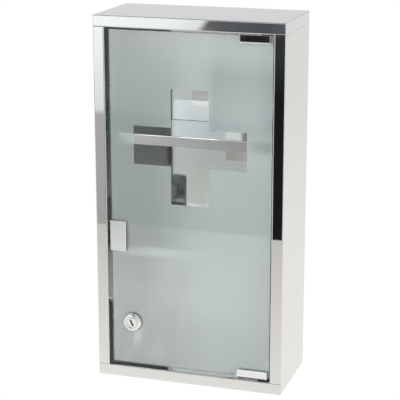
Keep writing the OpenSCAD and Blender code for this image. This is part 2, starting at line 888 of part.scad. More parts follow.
module lock_plug() {
    color(chrome) at_lock() difference() {
        union() {
            rod_y(plug_face_r, bezel_y0, plug_shoulder_y);
            rod_y(plug_r, bezel_y0, cam_y0);
            box([-tail_side / 2, cam_y0 - over, -tail_side / 2],
                [tail_side / 2, cam_y1 - tail_slack, tail_side / 2]);
        }
        rotate([0, -keyhole_angle, 0]) {
            along_y(bezel_y0 - over, bezel_y0 + keyhole_depth) keyhole_shape(0);
            wafer_block(wafer_gap);
        }
        rod_y(cam_screw_r, cam_y1 - tail_slack - cam_screw_l, cam_y1 + over);
    }
}

// Flat wafers across the plug, each with a window for the key
module lock_wafers() {
    window_grow = 0.2;
    color(zinc) at_lock() rotate([0, -keyhole_angle, 0]) difference() {
        intersection() {
            wafer_block(0);
            rod_y(plug_r - wafer_gap, plug_shoulder_y, cam_y0);
        }
        along_y(bezel_y0, bezel_y0 + keyhole_depth) keyhole_shape(window_grow);
    }
}

module lock_cam() {
    color(zinc) at_lock() difference() {
        along_y(cam_y0, cam_y1) union() {
            circle(cam_hub_r);
            corner_rect([-cam_w / 2, -cam_reach], [cam_w / 2, 0], [cam_corner_r, cam_corner_r, 0, 0]);
        }
        box([-tail_side / 2, cam_y0 - over, -tail_side / 2], [tail_side / 2, cam_y1 + over, tail_side / 2]);
    }
}

module cam_washer() {
    color(zinc) at_lock() difference() {
        rod_y(cam_washer_r, cam_y1, cam_washer_y1);
        rod_y(cam_screw_r, cam_y1 - over, cam_washer_y1 + over);
    }
}

module cam_screw() {
    head_y1 = cam_washer_y1 + cam_screw_head_h;
    color(zinc) at_lock() difference() {
        union() {
            rod_y(cam_screw_r, cam_y1 - tail_slack - cam_screw_l, cam_washer_y1);
            rod_y(cam_screw_head_r, cam_washer_y1, head_y1);
        }
        for (a = [0, 90])
            rotate([0, a, 0]) box(
                [-cross_slot_w / 2, (cam_washer_y1 + head_y1) / 2, -cross_slot_l / 2],
                [cross_slot_w / 2, head_y1 + over, cross_slot_l / 2]);
    }
}

top_cover();
ceiling_sheet();
bottom_cover();
floor_sheet();
left_side_panel();
left_inner_liner();
right_side_panel();
right_inner_liner();
back_panel();
back_rivets();
upper_shelf();
lower_shelf();
upper_shelf_pins();
lower_shelf_pins();
upper_pivot_bush();
lower_pivot_bush();
latch_housing();
latch_screws();
latch_spring();
latch_plunger();
latch_magnet();
door_glass();
frosted_film();
handle_clip();
handle_pad();
upper_hinge_clamp();
lower_hinge_clamp();
hinge_pads();
clamp_screws();
upper_pivot_pin();
lower_pivot_pin();
lock_housing();
lock_gasket();
nut_washer();
lock_nut();
lock_plug();
lock_wafers();
lock_cam();
cam_washer();
cam_screw();
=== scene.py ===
"""Lockable medicine cabinet: finishes, detailed pieces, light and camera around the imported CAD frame.

All lengths are in metres.
"""
import math

import bpy
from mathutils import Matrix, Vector


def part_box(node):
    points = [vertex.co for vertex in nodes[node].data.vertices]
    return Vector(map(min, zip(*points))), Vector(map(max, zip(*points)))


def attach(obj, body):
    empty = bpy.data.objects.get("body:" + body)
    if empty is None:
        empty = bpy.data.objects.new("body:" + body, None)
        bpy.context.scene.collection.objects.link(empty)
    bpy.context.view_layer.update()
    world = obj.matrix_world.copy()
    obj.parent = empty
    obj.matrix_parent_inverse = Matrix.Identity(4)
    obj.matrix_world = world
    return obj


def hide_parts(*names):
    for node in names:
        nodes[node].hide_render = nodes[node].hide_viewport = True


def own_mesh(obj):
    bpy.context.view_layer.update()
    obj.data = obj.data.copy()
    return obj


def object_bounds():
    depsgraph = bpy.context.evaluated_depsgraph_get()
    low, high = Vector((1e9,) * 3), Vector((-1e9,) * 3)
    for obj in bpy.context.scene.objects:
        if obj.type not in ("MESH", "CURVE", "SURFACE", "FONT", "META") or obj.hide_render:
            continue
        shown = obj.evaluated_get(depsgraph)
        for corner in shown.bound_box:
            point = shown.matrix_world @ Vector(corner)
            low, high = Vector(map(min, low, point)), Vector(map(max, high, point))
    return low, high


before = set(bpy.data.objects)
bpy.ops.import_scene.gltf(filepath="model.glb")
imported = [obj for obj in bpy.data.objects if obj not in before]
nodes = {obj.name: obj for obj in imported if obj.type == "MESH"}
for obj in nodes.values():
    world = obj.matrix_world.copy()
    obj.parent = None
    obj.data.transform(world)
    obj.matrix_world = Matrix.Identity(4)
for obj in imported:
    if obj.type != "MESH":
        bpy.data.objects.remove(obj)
cad_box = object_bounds()
scene = bpy.context.scene
MM = 0.001

# ---------- Where things are, from the frame ----------

front_y = cad_box[0].y
glass_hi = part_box("door_glass")[1]
film_lo, film_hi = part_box("frosted_film")
plug_lo, plug_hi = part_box("lock_plug")
lock_spot = Vector(((plug_lo.x + plug_hi.x) / 2, 0, (plug_lo.z + plug_hi.z) / 2))


# ---------- Shader maths ----------

class Wire:
    """A value or colour on its way through a material, with arithmetic."""

    def __init__(self, tree, socket):
        self.tree = tree
        self.socket = socket

    def _math(self, operation, other, swapped=False):
        first, second = (other, self) if swapped else (self, other)
        return self.tree.node("ShaderNodeMath", {"operation": operation}, {0: first, 1: second})

    def __add__(self, other):
        return self._math("ADD", other)

    def __radd__(self, other):
        return self._math("ADD", other, True)

    def __sub__(self, other):
        return self._math("SUBTRACT", other)

    def __rsub__(self, other):
        return self._math("SUBTRACT", other, True)

    def __mul__(self, other):
        return self._math("MULTIPLY", other)

    def __rmul__(self, other):
        return self._math("MULTIPLY", other, True)

    def __truediv__(self, other):
        return self._math("DIVIDE", other)

    def __gt__(self, other):
        return self._math("GREATER_THAN", other)


# The Mix node's sockets for colours, which share their names with its sockets for numbers
MIX_SHARE, MIX_FIRST, MIX_SECOND, MIX_RESULT = 0, 6, 7, 2


class Tree:
    """The node tree of a material or a world."""

    def __init__(self, owner):
        owner.use_nodes = True
        self.nodes = owner.node_tree.nodes
        self.links = owner.node_tree.links
        self.nodes.clear()

    def node(self, kind, settings=None, inputs=None, output=0):
        """Adds a node: its settings first, then the values or links of its sockets."""
        made = self.nodes.new(kind)
        for name, value in (settings or {}).items():
            setattr(made, name, value)
        for name, value in (inputs or {}).items():
            if isinstance(value, Wire):
                self.links.new(value.socket, made.inputs[name])
            else:
                made.inputs[name].default_value = value
        return Wire(self, made.outputs[output])

    def noise(self, scale, detail, stretch=(1, 1, 1)):
        """A noise over the object's own coordinates, which are in metres, stretched along each axis."""
        spot = self.node("ShaderNodeTexCoord", output="Object")
        place = self.node("ShaderNodeMapping", None, {"Vector": spot, "Scale": stretch})
        return self.node("ShaderNodeTexNoise", None, {"Vector": place, "Scale": scale, "Detail": detail})

    def span(self, wire, low, high, to_low=0, to_high=1):
        """Goes from to_low to to_high as the wire goes from low to high, and stays there beyond them."""
        return self.node("ShaderNodeMapRange", {"clamp": True}, {
            "Value": wire, "From Min": low, "From Max": high, "To Min": to_low, "To Max": to_high})

    def mix(self, share, first, second):
        """The first colour where share is 0, the second where it is 1."""
        made = self.nodes.new("ShaderNodeMix")
        made.data_type = "RGBA"
        for index, value in ((MIX_SHARE, share), (MIX_FIRST, first), (MIX_SECOND, second)):
            if isinstance(value, Wire):
                self.links.new(value.socket, made.inputs[index])
            else:
                made.inputs[index].default_value = value if index == MIX_SHARE else (*value, 1)
        return Wire(self, made.outputs[MIX_RESULT])

    def bump(self, height, strength, distance):
        return self.node("ShaderNodeBump", None, {
            "Height": height, "Strength": strength, "Distance": distance})

    def axis(self, name, source="Object"):
        """X, Y or Z of the point on the object, or of the direction where a world asks for Generated."""
        spot = self.node("ShaderNodeTexCoord", output=source)
        return self.node("ShaderNodeSeparateXYZ", None, {"Vector": spot}, output=name)

    def surface(self, inputs, volume=None):
        """Ends the tree with one Principled shader."""
        self.finish(self.node("ShaderNodeBsdfPrincipled", None, inputs), volume)

    def finish(self, shader, volume=None):
        """Ends the tree of a material."""
        ends = {"Surface": shader}
        if volume:
            ends["Volume"] = volume
        self.node_end("ShaderNodeOutputMaterial", ends)

    def node_end(self, kind, ends):
        """Links the last wires to the tree's output node."""
        end = self.nodes.new(kind)
        for name, wire in ends.items():
            self.links.new(wire.socket, end.inputs[name])


def new_material(name):
    made = bpy.data.materials.new(name)
    return made, Tree(made)


# ---------- Finishes ----------

STEEL_TINTS = (0.70, 0.71, 0.71), (0.74, 0.74, 0.735)
WAVE_RISE = 0.0002
PANEL_LEAN = (0.028, 0.033)


def polished_steel():
    """Mirror-polished stainless sheet with faint handling marks and a slight waviness."""
    made, tree = new_material("polished_steel")
    smudge = tree.noise(18, 4)
    grain = tree.noise(900, 2, (0.06, 0.06, 1))
    waves = tree.noise(9, 2)
    tree.surface({
        "Base Color": tree.mix(smudge, *STEEL_TINTS), "Metallic": 1,
        "Roughness": tree.span(smudge, 0.35, 0.75, 0.01, 0.03) + tree.span(grain, 0.3, 0.7, 0, 0.006),
        "Normal": tree.bump(waves, 0.04, 0.002)})
    return made


def sprung_steel():
    """The same sheet on the wide back panel, which leans a little and springs into long shallow waves."""
    made, tree = new_material("sprung_steel")
    smudge = tree.noise(18, 4)
    waves = tree.noise(7, 1, (1, 1, 0.45))
    lean = tree.axis("X") * PANEL_LEAN[0] + tree.axis("Z") * PANEL_LEAN[1]
    tree.surface({
        "Base Color": tree.mix(smudge, *STEEL_TINTS), "Metallic": 1,
        "Roughness": tree.span(smudge, 0.35, 0.75, 0.02, 0.05),
        "Normal": tree.bump(waves * WAVE_RISE + lean, 1, 1)})
    return made


def mottled(name, noise, tints, rough, metallic=0, bump=None):
    """A finish whose colour, roughness and bump, of a strength and a distance, follow one noise."""
    made, tree = new_material(name)
    mottle = tree.noise(*noise)
    inputs = {
        "Base Color": tree.mix(mottle, *tints), "Metallic": metallic,
        "Roughness": tree.span(mottle, 0.3, 0.7, *rough)}
    if bump:
        inputs["Normal"] = tree.bump(mottle, *bump)
    tree.surface(inputs)
    return made


def green_glass():
    """Clear float glass, green through its depth."""
    made, tree = new_material("green_glass")
    ground = tree.noise(700, 2)
    depth = tree.node("ShaderNodeVolumeAbsorption", None, {"Color": (0.55, 0.86, 0.74, 1), "Density": 9.0})
    tree.surface({
        "Base Color": (1, 1, 1, 1), "Roughness": tree.span(ground, 0.3, 0.7, 0.0, 0.004),
        "IOR": 1.52, "Transmission Weight": 1}, depth)
    return made


CLEAR_SHARE = 0.73


def frost():
    """The frosted film: a part of it is white haze, and the rest lets the light through and blurs it."""
    made, tree = new_material("frost")
    across = tree.axis("X")
    rise = tree.axis("Z")

    # The haze colour carries painted light: a painted cooler tint higher up, painted shade beside the lock
    # edge at middle height, and a painted whiter band along the top
    painted_shade_level = tree.span(across, -0.055, -0.025, 0.82, 1)
    painted_shade_level = 1 - (1 - painted_shade_level) * tree.span(rise, 0.10, 0.16) * tree.span(rise, 0.34, 0.40, 1, 0)
    outer = tree.mix(tree.span(rise, 0.1, 0.35), (0.86, 0.93, 0.905), (0.80, 0.925, 0.93))
    outer = tree.mix(tree.span(rise, 0.41, 0.45, 0, 0.6), outer, (1, 1, 1))
    outer = tree.mix(painted_shade_level, (0, 0, 0), outer)
    inside = tree.span(tree.axis("Y"), film_hi.y - 0.05 * MM, film_hi.y - 0.04 * MM)
    haze = tree.node("ShaderNodeBsdfPrincipled", None, {
        "Base Color": tree.mix(inside, outer, (0.30, 0.34, 0.34)), "Roughness": 0.6})

    # What comes through is tinted darker in the upper right: painted shade
    painted_dim_share = tree.span(across, 0.008, 0.035) * tree.span(rise, 0.30, 0.345)
    painted_dim_share = painted_dim_share * tree.span(rise, 0.41, 0.44, 1, 0)
    clear = tree.node("ShaderNodeBsdfPrincipled", None, {
        "Base Color": tree.mix(painted_dim_share, (0.95, 0.99, 0.99), (0.50, 0.51, 0.51)),
        "Roughness": 0.38, "IOR": 1.4, "Transmission Weight": 1})

    # There is more haze beside the lock edge and along the top: a painted glow of light there
    edge_glow = tree.span(across, film_lo.x, film_lo.x + 9 * MM, 0.07, 0)
    top_glow = tree.span(across, -0.07, -0.03, 0, 0.05) * tree.span(rise, 0.41, 0.44)
    share = CLEAR_SHARE - edge_glow - top_glow
    tree.finish(tree.node("ShaderNodeMixShader", None, {0: share, 1: haze, 2: clear}))
    return made


FINISHES = {
    "stainless_sheet": polished_steel(),
    "chrome_fittings": mottled(
        "bright_chrome", (60, 3), ((0.80, 0.81, 0.82), (0.86, 0.86, 0.86)), (0.02, 0.05), 1),
    "zinc_steel": mottled(
        "zinc_plate", (400, 4), ((0.76, 0.77, 0.78), (0.86, 0.86, 0.85)), (0.25, 0.42), 1, (0.15, 0.0002)),
    "brass": mottled(
        "wafer_brass", (500, 3), ((0.36, 0.27, 0.13), (0.48, 0.37, 0.19)), (0.2, 0.35), 1),
    "black_nylon": mottled(
        "black_nylon", (1500, 3), ((0.012, 0.012, 0.013), (0.022, 0.022, 0.024)), (0.4, 0.55),
        bump=(0.2, 0.0001)),
    "latch_plastic": mottled(
        "latch_plastic", (1200, 3), ((0.72, 0.72, 0.69), (0.78, 0.78, 0.75)), (0.4, 0.5),
        bump=(0.15, 0.0001)),
    "grey_rubber": mottled(
        "grey_rubber", (1800, 3), ((0.10, 0.105, 0.105), (0.15, 0.155, 0.155)), (0.6, 0.8)),
    "door_glass": green_glass(),
    "frosted_film": frost(),
}
# Chrome over a fine brushed ground, a little cooler than the bright fittings
SATIN_CHROME = mottled(
    "satin_chrome", (1400, 2, (1, 1, 0.08)), ((0.80, 0.845, 0.87), (0.84, 0.885, 0.91)), (0.20, 0.27), 1)

for node in nodes.values():
    for held in node.material_slots:
        held.material = FINISHES[held.material.name.split(".")[0]]

for held in nodes["back_panel"].material_slots:
    held.material = sprung_steel()


# ---------- Modelling tools ----------

TINY = 0.001 * MM
HAIR = 0.01 * MM
QUARTER_TURN = math.radians(90)
# Faces larger than this stay flat where soften() keeps flat sides
FLAT_AREA = 3 * MM * MM
FLAT_ANGLE = math.radians(0.05)
ROUND_SIDES = 96


def only(piece):
    """Makes piece the one selected and active object."""
    bpy.ops.object.select_all(action="DESELECT")
    piece.select_set(True)
    bpy.context.view_layer.objects.active = piece


def settle(piece):
    """Puts the object at the origin, unturned and unscaled, with its place in its mesh."""
    only(piece)
    bpy.ops.object.transform_apply(location=True, rotation=True, scale=True)


def block(name, lo, hi):
    """A box from corner to corner, as a start."""
    bpy.ops.object.select_all(action="DESELECT")
    middle = (Vector(lo) + Vector(hi)) / 2
    bpy.ops.mesh.primitive_cube_add(size=1, location=middle, scale=Vector(hi) - Vector(lo))
    piece = bpy.context.object
    piece.name = name
    settle(piece)
    return piece


def round_bar(name, place, radius, length):
    """A cylinder along Y, as a start: place is the middle of its front end."""
    bpy.ops.object.select_all(action="DESELECT")
    middle = Vector(place) + Vector((0, length / 2, 0))
    bpy.ops.mesh.primitive_cylinder_add(
        vertices=ROUND_SIDES, radius=radius, depth=length, location=middle,
        rotation=(QUARTER_TURN, 0, 0))
    piece = bpy.context.object
    piece.name = name
    settle(piece)
    return piece


def pick_faces(piece, test):
    """Opens the piece in edit mode with the faces selected whose middle and normal pass the test."""
    only(piece)
    mesh = piece.data
    for corner in mesh.vertices:
        corner.select = False
    for edge in mesh.edges:
        edge.select = False
    for face in mesh.polygons:
        face.select = bool(test(face.center, face.normal))
    bpy.ops.object.mode_set(mode="EDIT")
    bpy.ops.mesh.select_mode(type="FACE")


def pick_edges(piece, test):
    """Opens the piece in edit mode with the edges selected whose two ends pass the test."""
    only(piece)
    mesh = piece.data
    for face in mesh.polygons:
        face.select = False
    spots = [corner.co for corner in mesh.vertices]
    for edge in mesh.edges:
        edge.select = bool(test(spots[edge.vertices[0]], spots[edge.vertices[1]]))
    held = {end for edge in mesh.edges if edge.select for end in edge.vertices}
    for corner in mesh.vertices:
        corner.select = corner.index in held
    bpy.ops.object.mode_set(mode="EDIT")
    bpy.ops.mesh.select_mode(type="EDGE")


def done():
    """Leaves edit mode."""
    bpy.ops.object.mode_set(mode="OBJECT")


def cut_across(piece, place, normal):
    """Cuts the faces through a plane, and keeps both halves."""
    only(piece)
    bpy.ops.object.mode_set(mode="EDIT")
    bpy.ops.mesh.select_all(action="SELECT")
    bpy.ops.mesh.bisect(plane_co=place, plane_no=normal)
    done()


def merged_copy(name, node):
    """A copy of a CAD node as one closed mesh with its flat faces whole."""
    piece = bpy.data.objects.new(name, nodes[node].data.copy())
    scene.collection.objects.link(piece)
    only(piece)
    bpy.ops.object.mode_set(mode="EDIT")
    bpy.ops.mesh.select_all(action="SELECT")
    bpy.ops.mesh.remove_doubles(threshold=TINY)
    bpy.ops.mesh.customdata_custom_splitnormals_clear()
    bpy.ops.mesh.dissolve_limited(angle_limit=FLAT_ANGLE)
    done()
    return piece


def modified(piece, kind, **settings):
    """Adds a modifier and applies it."""
    only(piece)
    step = piece.modifiers.new(kind.lower(), kind)
    for name, value in settings.items():
        setattr(step, name, value)
    bpy.ops.object.modifier_apply(modifier=step.name)


def soften(piece, width, segments=3, sharp=30, flat_sides=False):
    """Rounds the sharp edges and shades the rest smooth, or only the small faces along its edges."""
    modified(piece, "BEVEL", width=width, segments=segments, limit_method="ANGLE",
             angle_limit=math.radians(sharp))
    only(piece)
    bpy.ops.object.shade_smooth_by_angle(angle=math.radians(sharp))
    if flat_sides:
        for face in piece.data.polygons:
            if face.area > FLAT_AREA:
                face.use_smooth = False
    else:
        modified(piece, "WEIGHTED_NORMAL", weight=100, keep_sharp=True)


def carve(piece, tool, operation="DIFFERENCE"):
    """Cuts the tool's shape out of the piece and throws the tool away."""
    modified(piece, "BOOLEAN", operation=operation, object=tool, solver="EXACT")
    bpy.data.objects.remove(tool)


def keep(piece, body, slot, *replaced):
    """Fastens a finished piece to its body, in the place of the CAD nodes that it stands for."""
    piece.data.materials.clear()
    piece.data.materials.append(FINISHES[slot])
    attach(piece, body)
    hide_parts(*replaced)


# ---------- Door ----------

# The film's front face stands this far clear of the glass
FILM_AIR = 0.02 * MM
CLIP_BEVEL = 1.2 * MM
CLIP_EDGE_R = 0.16 * MM
CLAMP_BEVEL = 0.8 * MM
CLAMP_EDGE_R = 0.15 * MM
BUSH_EDGE_R = 0.3 * MM

film = merged_copy("frost_layer", "frosted_film")
for corner in film.data.vertices:
    if corner.co.y < film_lo.y + FILM_AIR:
        corner.co.y = film_lo.y + FILM_AIR
keep(film, "door", "frosted_film", "frosted_film")


def make_clip():
    """The handle clip: a web round the glass edge, drawn out into a front and a back plate."""
    lo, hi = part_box("handle_clip")
    pad_lo, pad_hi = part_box("handle_pad")
    piece = block("grip_clip", lo, (pad_lo.x, hi.y, hi.z))
    cut_across(piece, (0, pad_lo.y, 0), (0, 1, 0))
    cut_across(piece, (0, pad_hi.y, 0), (0, 1, 0))
    for plate in (lambda y: y < pad_lo.y, lambda y: y > pad_hi.y):
        pick_faces(piece, lambda middle, normal: normal.x > 0.9 and plate(middle.y))
        bpy.ops.mesh.extrude_region_move(TRANSFORM_OT_translate={"value": (hi.x - pad_lo.x, 0, 0)})
        done()
    only(piece)
    bpy.ops.object.mode_set(mode="EDIT")
    bpy.ops.mesh.select_all(action="SELECT")
    bpy.ops.mesh.dissolve_limited(angle_limit=math.radians(1))
    done()
    pick_edges(piece, lambda a, b: max(a.y, b.y) < lo.y + HAIR)
    bpy.ops.mesh.bevel(offset=CLIP_BEVEL, segments=1, affect="EDGES")
    done()
    soften(piece, CLIP_EDGE_R, flat_sides=True)
    keep(piece, "door", "chrome_fittings", "handle_clip")
    piece.data.materials[0] = SATIN_CHROME


make_clip()

for name, node in (("upper_clamp", "upper_hinge_clamp"), ("lower_clamp", "lower_hinge_clamp")):
    clamp = merged_copy(name, node)
    face = min(corner.co.y for corner in clamp.data.vertices)
    pick_edges(clamp, lambda a, b: max(a.y, b.y) < face + TINY)
    bpy.ops.mesh.bevel(offset=CLAMP_BEVEL, segments=1, affect="EDGES")
    done()
    soften(clamp, CLAMP_EDGE_R, flat_sides=True)
    keep(clamp, "door", "chrome_fittings", node)

for name, node in (("upper_bush", "upper_pivot_bush"), ("lower_bush", "lower_pivot_bush")):
    bush = merged_copy(name, node)
    soften(bush, BUSH_EDGE_R, flat_sides=True)
    keep(bush, "cabinet", "black_nylon", node)


# ---------- Lock ----------

BARREL_R = 8.5 * MM
BEZEL_FRONT_R = 9 * MM
BEZEL_RIM = 0.7 * MM
BEZEL_EDGE_R = 0.12 * MM
# Along the crowned bezel: the share of its height reached, and how much narrower each step is than the last
BEZEL_CROWN = [(0.35, 0.94), (0.7, 0.95), (0.9, 0.935), (1.0, 0.93)]
PLUG_FACE_R = 7.4 * MM
PLUG_FACE_T = 2 * MM
PLUG_R = 6 * MM
PLUG_EDGE_R = 0.1 * MM
RUNNING_FIT = 0.05 * MM
RING_BEVEL = 0.7 * MM
THREAD_PITCH = 1 * MM
THREAD_DEPTH = 0.45 * MM
THREAD_CREST = 0.1
THREAD_SLOPE = 0.45
DISH_R = 60 * MM
DISH_DEPTH = 0.35 * MM
# The keyway's mouth is two slots side by side, a step apart and each a lap past the axis
KEY_MOUTH_W = 2.4 * MM
KEY_MOUTH_L = 4.8 * MM
KEY_MOUTH_T = 9 * MM
KEY_STEP = 0.7 * MM
KEY_LAP = 0.5 * MM
KEY_LEAN = math.radians(33)
NUT_BEVEL = 1.0 * MM
NUT_EDGE_R = 0.1 * MM
CAM_EDGE_R = 0.25 * MM

plug_shoulder_y = plug_lo.y + PLUG_FACE_T


def front_cap(piece, y, inside):
    """Opens the piece with the flat face at y selected, out to the radius inside."""
    pick_faces(piece, lambda middle, normal: abs(normal.y) > 0.99 and abs(middle.y - y) < TINY
               and (middle - lock_spot - Vector((0, middle.y, 0))).length < inside)


def draw_out(step):
    """Draws the selected faces out along Y."""
    bpy.ops.mesh.extrude_region_move(TRANSFORM_OT_translate={"value": (0, step, 0)})


def shrink(share):
    """Draws what is selected in towards the lock's axis, or out from it."""
    bpy.ops.transform.resize(value=(share, 1, share), center_override=lock_spot)


def make_housing():
    """The lock housing: a crowned bezel, a threaded barrel behind it and a bore for the plug."""
    lo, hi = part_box("lock_housing")
    seat_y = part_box("lock_gasket")[0].y
    bezel_r = (hi.x - lo.x) / 2
    piece = round_bar("lock_body", lock_spot + Vector((0, seat_y - BEZEL_RIM, 0)), bezel_r, BEZEL_RIM)

    front_cap(piece, seat_y - BEZEL_RIM, bezel_r)
    crown_h = seat_y - BEZEL_RIM - lo.y
    reach, radius = 0, bezel_r
    for share, ratio in BEZEL_CROWN:
        draw_out(-crown_h * (share - reach))
        shrink(ratio)
        radius *= ratio
        reach = share
    draw_out(0)
    shrink(BEZEL_FRONT_R / radius)
    draw_out(0)
    shrink((PLUG_FACE_R + RING_BEVEL) / BEZEL_FRONT_R)
    draw_out(RING_BEVEL)
    shrink((PLUG_FACE_R + RUNNING_FIT) / (PLUG_FACE_R + RING_BEVEL))
    draw_out(plug_shoulder_y - lo.y - RING_BEVEL)
    draw_out(0)
    shrink((PLUG_R + RUNNING_FIT) / (PLUG_FACE_R + RUNNING_FIT))
    draw_out(hi.y - plug_shoulder_y)
    bpy.ops.mesh.delete(type="ONLY_FACE")
    done()

    front_cap(piece, seat_y, bezel_r)
    draw_out(0)
    shrink((BARREL_R - THREAD_DEPTH) / bezel_r)
    draw_out(glass_hi.y - seat_y)
    rounds = int((hi.y - glass_hi.y) / THREAD_PITCH)
    swell = BARREL_R / (BARREL_R - THREAD_DEPTH)
    for _ in range(rounds):
        draw_out(THREAD_PITCH * THREAD_SLOPE)
        shrink(swell)
        draw_out(THREAD_PITCH * THREAD_CREST)
        draw_out(THREAD_PITCH * THREAD_SLOPE)
        shrink(1 / swell)
    draw_out(hi.y - glass_hi.y - rounds * THREAD_PITCH)
    draw_out(0)
    shrink((PLUG_R + RUNNING_FIT) / (BARREL_R - THREAD_DEPTH))
    bpy.ops.mesh.delete(type="ONLY_FACE")
    bpy.ops.mesh.select_all(action="SELECT")
    bpy.ops.mesh.remove_doubles(threshold=2 * TINY)
    bpy.ops.mesh.normals_make_consistent(inside=False)
    done()
    soften(piece, BEZEL_EDGE_R, 2, 40)
    keep(piece, "door", "chrome_fittings", "lock_housing")


make_housing()


def make_plug():
    """The turning plug: a bevelled rim, a shallow dish in its face and a keyway wider at its mouth."""
    piece = merged_copy("lock_core_plug", "lock_plug")
    face = plug_lo.y
    tool = round_bar(
        "turning", lock_spot + Vector((0, face - HAIR, 0)), PLUG_FACE_R + HAIR, plug_hi.y - face + MM)
    pick_edges(tool, lambda a, b: max(a.y, b.y) < face)
    bpy.ops.mesh.bevel(offset=RING_BEVEL, segments=1, affect="EDGES")
    done()
    carve(piece, tool, "INTERSECT")
    bpy.ops.object.select_all(action="DESELECT")
    bpy.ops.mesh.primitive_uv_sphere_add(
        segments=128, ring_count=64, radius=DISH_R, rotation=(QUARTER_TURN, 0, 0),
        location=lock_spot + Vector((0, face + DISH_DEPTH - DISH_R, 0)))
    tool = bpy.context.object
    settle(tool)
    carve(piece, tool)
    for side in (-1, 1):
        tool = block(
            "keyway", (-KEY_MOUTH_W / 2, face - MM, -KEY_LAP),
            (KEY_MOUTH_W / 2, face + KEY_MOUTH_T, KEY_MOUTH_L))
        if side < 0:
            tool.rotation_euler.y = math.pi
            settle(tool)
        tool.location.x = side * KEY_STEP / 2
        settle(tool)
        tool.rotation_euler.y = -KEY_LEAN
        tool.location = lock_spot
        settle(tool)
        carve(piece, tool)
    soften(piece, PLUG_EDGE_R, 2, 25)
    keep(piece, "lock_core", "chrome_fittings", "lock_plug")


make_plug()


def make_nut():
    """The lock nut: a hexagon with its corners turned off."""
    lo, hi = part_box("lock_nut")
    piece = merged_copy("barrel_nut", "lock_nut")
    reach = (hi.x - lo.x) / 2
    tool = round_bar("turning", lock_spot + Vector((0, lo.y, 0)), reach * 1.001, hi.y - lo.y)
    pick_edges(tool, lambda a, b: abs(a.y - b.y) < TINY)
    bpy.ops.mesh.bevel(offset=NUT_BEVEL, offset_type="OFFSET", segments=1, affect="EDGES")
    done()
    carve(piece, tool, "INTERSECT")
    soften(piece, NUT_EDGE_R, 2)
    keep(piece, "door", "zinc_steel", "lock_nut")


make_nut()

cam = merged_copy("lock_tongue", "lock_cam")
soften(cam, CAM_EDGE_R)
keep(cam, "lock_core", "zinc_steel", "lock_cam")


# ---------- Touch latch ----------

SPRING_R = 2.6 * MM
SPRING_WIRE_R = 0.35 * MM
SPRING_TURNS = 7
SPRING_STEPS = 32 * SPRING_TURNS


def make_spring():
    """The latch spring: a round wire drawn round its coils."""
    lo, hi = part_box("latch_spring")
    centre = (lo + hi) / 2
    bpy.ops.object.select_all(action="DESELECT")
    bpy.ops.mesh.primitive_circle_add(
        vertices=16, radius=SPRING_WIRE_R, location=(SPRING_R, 0, 0), rotation=(QUARTER_TURN, 0, 0))
    piece = bpy.context.object
    piece.name = "latch_coil"
    settle(piece)
    rise = hi.y - lo.y - 2 * SPRING_WIRE_R
    modified(piece, "SCREW", angle=2 * math.pi * SPRING_TURNS, screw_offset=rise, steps=SPRING_STEPS,
             render_steps=SPRING_STEPS, axis="Z", use_merge_vertices=False)
    piece.rotation_euler = (-QUARTER_TURN, 0, 0)
    piece.location = (centre.x, lo.y + SPRING_WIRE_R, centre.z)
    settle(piece)
    only(piece)
    bpy.ops.object.mode_set(mode="EDIT")
    bpy.ops.mesh.select_all(action="DESELECT")
    bpy.ops.mesh.select_mode(type="EDGE")
    bpy.ops.mesh.select_non_manifold(extend=False, use_wire=False, use_boundary=True)
    bpy.ops.mesh.fill_holes(sides=16)
    bpy.ops.mesh.select_all(action="SELECT")
    bpy.ops.mesh.normals_make_consistent(inside=False)
    done()
    bpy.ops.object.shade_smooth_by_angle(angle=math.radians(40))
    keep(piece, "cabinet", "zinc_steel", "latch_spring")
    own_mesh(piece)


make_spring()


# ---------- Studio ----------

FLOOR_FRONT = -0.73
FLOOR_BACK = 1.8
FLOOR_FAR = 12
FLOOR_FRONT_LEFT = FLOOR_FRONT - 0.13
FLOOR_FRONT_RIGHT = FLOOR_FRONT + 0.14
WHITE = (1, 1, 1)
ROOM_LEVEL = 0.95
DOOR_GAIN = 1.62
# Faces of glass and film that a ray has passed through: four by way of the clear parts alone, and two more
# each time that it crosses the film
FILM_ONCE = 5
FILM_TWICE = 7


def light_path(tree, name):
    return tree.node("ShaderNodeLightPath", output=name)


def after_diffuse(tree):
    """1 where the ray has already met a matt surface."""
    return light_path(tree, "Diffuse Depth") > 0.5


def through_glass(tree, faces=1):
    """1 where the ray has already passed through this many faces of the door's glass and film."""
    return light_path(tree, "Transmission Depth") > faces - 0.5


def room_level(through):
    """What a matt surface receives, with more of it behind the door's glass."""
    return ROOM_LEVEL * (1 + through * DOOR_GAIN)


def emitting(name, build):
    """A material that only gives light, its colour and strength made by build(tree)."""
    made, tree = new_material(name)
    colour, strength = build(tree)
    tree.finish(tree.node("ShaderNodeEmission", None, {"Color": colour, "Strength": strength}))
    return made


def card(name, corners, material):
    """A flat studio card through its corners, not part of the object."""
    mesh = bpy.data.meshes.new(name)
    mesh.from_pydata(corners, [], [list(range(len(corners)))])
    made = bpy.data.objects.new(name, mesh)
    scene.collection.objects.link(made)
    made.data.materials.append(material)
    made.visible_shadow = False


def floor_light(tree):
    """White where the camera sees it. Polished metal sees it fade towards its front edge and far behind."""
    across = tree.axis("X")
    along = tree.axis("Y")
    level = tree.span(along, FLOOR_FRONT, front_y, 0.75, 1.06) * tree.span(along, 0, FLOOR_BACK, 0.97, 0.85)
    level = level * tree.span(across, -0.1, 0.1, 1, 0.97)

    # Behind the glass it is brighter at the left
    through = through_glass(tree)
    inner = tree.span(across, -0.15, 0.15, 1.7, 0.35)
    inner = inner * (1 + (through_glass(tree, FILM_ONCE) - through_glass(tree, FILM_TWICE)) * 0.15)
    soft = after_diffuse(tree)
    level = level * (1 + through * (inner - 1)) * (1 - soft) + room_level(through) * soft
    seen = light_path(tree, "Is Camera Ray")
    warm = tree.mix(tree.span(along, -0.4, 0.4), (1.0, 0.965, 0.90), (1.0, 0.99, 0.97))
    return tree.mix(seen, warm, WHITE), level * (1 - seen) + seen


